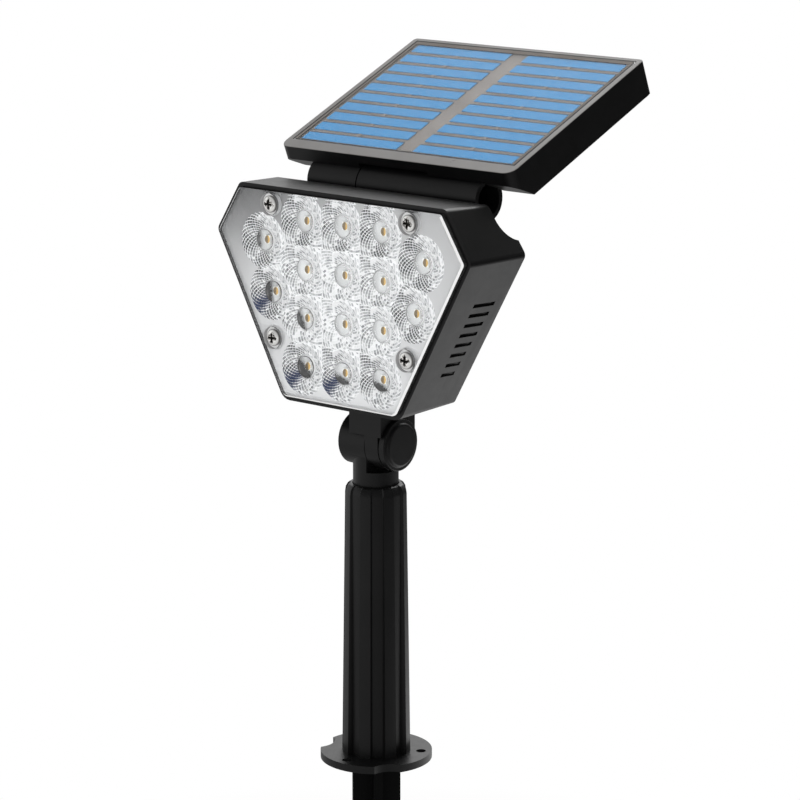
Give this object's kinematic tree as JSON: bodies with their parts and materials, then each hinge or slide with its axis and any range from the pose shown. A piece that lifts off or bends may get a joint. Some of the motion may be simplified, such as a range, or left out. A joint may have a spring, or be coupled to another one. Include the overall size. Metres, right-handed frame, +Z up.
{
  "type": "solar garden light",
  "caption": "Spike-mounted solar garden light: a hexagonal LED head tilts on a ribbed post with a screw-down flange, and a solar panel hinges on the head's top edge.",
  "frame": {"origin": "centre of the post flange's underside, at ground level", "axes": "+Z up along the post, the lamp shines towards -Y, +X to the right seen from the front"},
  "size_m": [0.1478, 0.1391, 0.458],
  "materials": {
    "black_plastic": "satin",
    "clear_plastic": "clear, polished",
    "white_board": "solder mask",
    "green_board": "solder mask",
    "led_phosphor": "gloss",
    "steel": "plated",
    "rubber": "matt",
    "white_rubber": "matt",
    "cell_sleeve": "shrink sleeve over a metal can",
    "switch_black": "matt",
    "silicon": "satin",
    "backing": "matt"
  },
  "bodies": {
    "post_body": {"post": "black_plastic", "ground_spike": "black_plastic"},
    "neck_body": {"neck": "black_plastic", "pivot_nut": "steel"},
    "head_body": {"head_housing": "black_plastic", "hinge_arm": "black_plastic", "lens_cover": "clear_plastic", "lens_gasket": "white_rubber", "led_board": "white_board", "led_01": "led_phosphor", "led_02": "led_phosphor", "led_03": "led_phosphor", "led_04": "led_phosphor", "led_05": "led_phosphor", "led_06": "led_phosphor", "led_07": "led_phosphor", "led_08": "led_phosphor", "led_09": "led_phosphor", "led_10": "led_phosphor", "led_11": "led_phosphor", "led_12": "led_phosphor", "led_13": "led_phosphor", "led_14": "led_phosphor", "led_15": "led_phosphor", "led_16": "led_phosphor", "lens_screw_1": "steel", "lens_screw_2": "steel", "lens_screw_3": "steel", "lens_screw_4": "steel", "battery_cell": "cell_sleeve", "battery_cradle": "black_plastic", "control_board": "green_board", "tact_switch": "switch_black", "board_screw_1": "steel", "board_screw_2": "steel", "pivot_cap": "black_plastic", "pivot_bolt": "steel", "pivot_washer": "rubber"},
    "panel_body": {"panel_tray": "black_plastic", "solar_backing": "backing", "cell_string_left": "silicon", "cell_string_right": "silicon", "solar_front_sheet": "clear_plastic", "hinge_bolt": "steel", "hinge_nut": "steel", "hinge_washer": "rubber"},
    "button_body": {"mode_button": "rubber"}
  },
  "joints": [
    {"name": "neck_swivel", "type": "hinge", "parent": "post_body", "child": "neck_body", "pos_m": [0, 0, 0.1268], "axis": [0, 0, 1], "continuous": true},
    {"name": "head_tilt", "type": "hinge", "parent": "neck_body", "child": "head_body", "pos_m": [0, 0, 0.1457], "axis": [1, 0, 0], "range_deg": [-55, 55]},
    {"name": "panel_tilt", "type": "hinge", "parent": "head_body", "child": "panel_body", "pos_m": [0, 0.019, 0.255], "axis": [1, 0, 0], "range_deg": [-100, 65]},
    {"name": "mode_button_press", "type": "slide", "parent": "head_body", "child": "button_body", "axis": [0, -1, 0], "range_m": [0, 0.0008], "stiffness_N_per_m": 1500}
  ]
}
